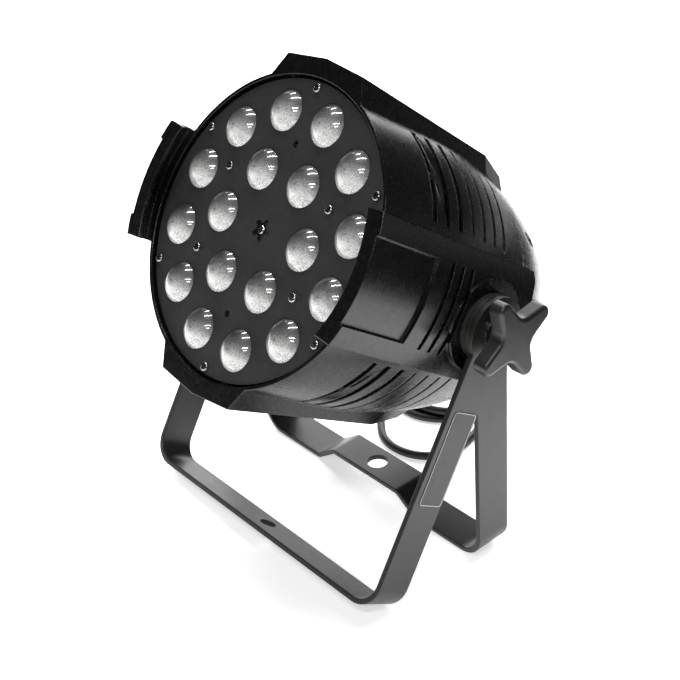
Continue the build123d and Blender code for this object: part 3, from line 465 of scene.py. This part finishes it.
def area_light(name, place, aim, along, size, power):
    """Rectangular lamp at place that shines on aim, its long side along a direction."""
    data = bpy.data.lights.new(name, "AREA")
    data.shape = "RECTANGLE"
    data.size = size[0]
    data.size_y = size[1]
    data.energy = power
    light = bpy.data.objects.new(name, data)
    bpy.context.scene.collection.objects.link(light)
    back = (Vector(place) - Vector(aim)).normalized()
    side = (Vector(along) - back * back.dot(Vector(along))).normalized()
    rows = Matrix((side, back.cross(side), back)).transposed()
    light.matrix_world = Matrix.Translation(place) @ rows.to_4x4()
    return light


def stage_sheet(name, corners, material):
    mesh = bpy.data.meshes.new(name)
    mesh.from_pydata(corners, [], [tuple(range(len(corners)))])
    sheet = bpy.data.objects.new(name, mesh)
    bpy.context.scene.collection.objects.link(sheet)
    sheet.data.materials.append(material)
    return sheet


def seen_in_reflections_only(sheet):
    sheet.visible_camera = False
    sheet.visible_shadow = False


ACROSS_FRAME = Vector((0.656, 0.755, 0))
TUBE_REACH = 2.2
TUBE_WIDTH = 0.12
TUBE_AIM = Vector((0, -0.05, 0.2))
# direction from the head to each tube lamp, its length and its power
TUBES = (
    ((-0.52, 0.22, 0.82), 0.5, 8.0),
    ((-0.135, 0.01, 0.99), 1.1, 22.0),
    ((0.43, -0.5, 0.745), 0.9, 15.0),
    ((0.53, -0.59, 0.60), 0.6, 5.0),
)
# dark sheet on the floor to one side, seen only in reflections
CARD_CORNERS = (
    (0.98, -0.48),
    (3.4, 1.3),
    (1.8, 3.5),
    (-0.9, 1.9),
    (-0.72, 1.5),
    (0.05, 0.47),
    (0.53, 0.14),
)


FLOOR_REACH = 30.0
CARD_HEIGHT = 0.002
BACKDROP_MIDDLE = Vector((-1.78, 1.61, 0))
BACKDROP_HALF_WIDTH = 1.2
BACKDROP_BOTTOM = 0.35
BACKDROP_TOP = 2.2


def make_studio():
    glow = {"Emission_Color": (1, 1, 1, 1)}
    paper = Shader("studio_floor", (0.86, 0.86, 0.855), 0.7, Emission_Strength=0.6, **glow)
    paper.vary_colour(paper.noise(2.0, 3.0), (0.88, 0.88, 0.875))
    corners = [(x * FLOOR_REACH, y * FLOOR_REACH, 0) for x, y in ((-1, -1), (1, -1), (1, 1), (-1, 1))]
    stage_sheet("studio_floor", corners, paper.material)
    card = Shader("studio_card", (0.006, 0.006, 0.006), 0.9)
    card.vary_colour(card.noise(3.0, 3.0), (0.008, 0.008, 0.008))
    edge = [(*corner, CARD_HEIGHT) for corner in CARD_CORNERS]
    seen_in_reflections_only(stage_sheet("studio_card", edge, card.material))
    wall = Shader("studio_backdrop", (0.86, 0.86, 0.86), 0.8, Emission_Strength=2.6, **glow)
    wall.vary_colour(wall.noise(2.0, 3.0), (0.84, 0.84, 0.84))
    half = ACROSS_FRAME * BACKDROP_HALF_WIDTH
    left, right = (BACKDROP_MIDDLE - half).xy, (BACKDROP_MIDDLE + half).xy
    corners = [(*left, BACKDROP_BOTTOM), (*right, BACKDROP_BOTTOM)]
    corners += [(*right, BACKDROP_TOP), (*left, BACKDROP_TOP)]
    seen_in_reflections_only(stage_sheet("studio_backdrop", corners, wall.material))
    world = bpy.data.worlds.new("studio")
    world.use_nodes = True
    world.node_tree.nodes["Background"].inputs["Color"].default_value = (0.95, 0.97, 1.0, 1)
    world.node_tree.nodes["Background"].inputs["Strength"].default_value = 0.03
    bpy.context.scene.world = world
    for index, (way, length, power) in enumerate(TUBES):
        place = TUBE_AIM + Vector(way) * TUBE_REACH
        area_light(f"tube_{index}", place, TUBE_AIM, ACROSS_FRAME, (length, TUBE_WIDTH), power)
    overhead = area_light("overhead", (-0.6, 1.1, 2.6), (-0.1, 0.2, 0), ACROSS_FRAME, (3.0, 2.2), 190.0)
    overhead.visible_glossy = False
    bpy.context.scene.view_settings.view_transform = "Standard"


make_studio()
